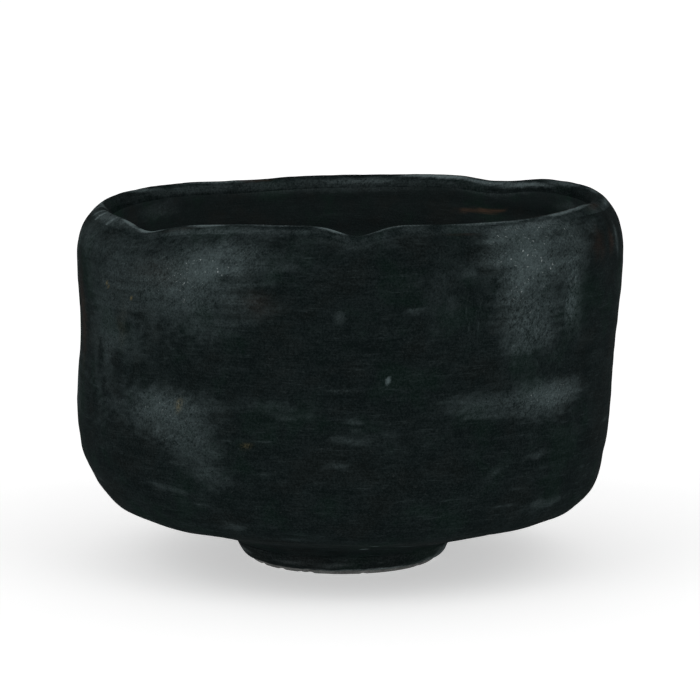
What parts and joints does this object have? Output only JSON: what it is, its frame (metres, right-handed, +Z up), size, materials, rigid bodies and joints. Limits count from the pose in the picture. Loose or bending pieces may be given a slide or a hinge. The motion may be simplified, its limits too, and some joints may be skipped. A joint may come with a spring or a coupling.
{
  "type": "matcha bowl",
  "caption": "Black hand-formed tea bowl with upright walls, a soft uneven rim, a rounded hip, a low foot ring and a brushed dark glaze.",
  "frame": {"origin": "centre of the foot's resting face, on the surface that the bowl stands on", "axes": "+Z up out of the bowl's mouth, -Y towards the side with the drinking notch in the rim, +X to the right of someone facing that side"},
  "size_m": [0.1194, 0.117, 0.0807],
  "materials": {
    "clay": "matte",
    "bare_clay": "matte",
    "outer_glaze": "satin",
    "lip_glaze": "satin",
    "inner_glaze": "satin",
    "foot_glaze": "satin"
  },
  "bodies": {
    "root": {"clay_body": "clay", "foot_ring": "bare_clay", "outer_glaze": "outer_glaze", "lip_glaze": "lip_glaze", "inner_glaze": "inner_glaze", "foot_glaze": "foot_glaze", "well_glaze": "foot_glaze"}
  },
  "joints": []
}
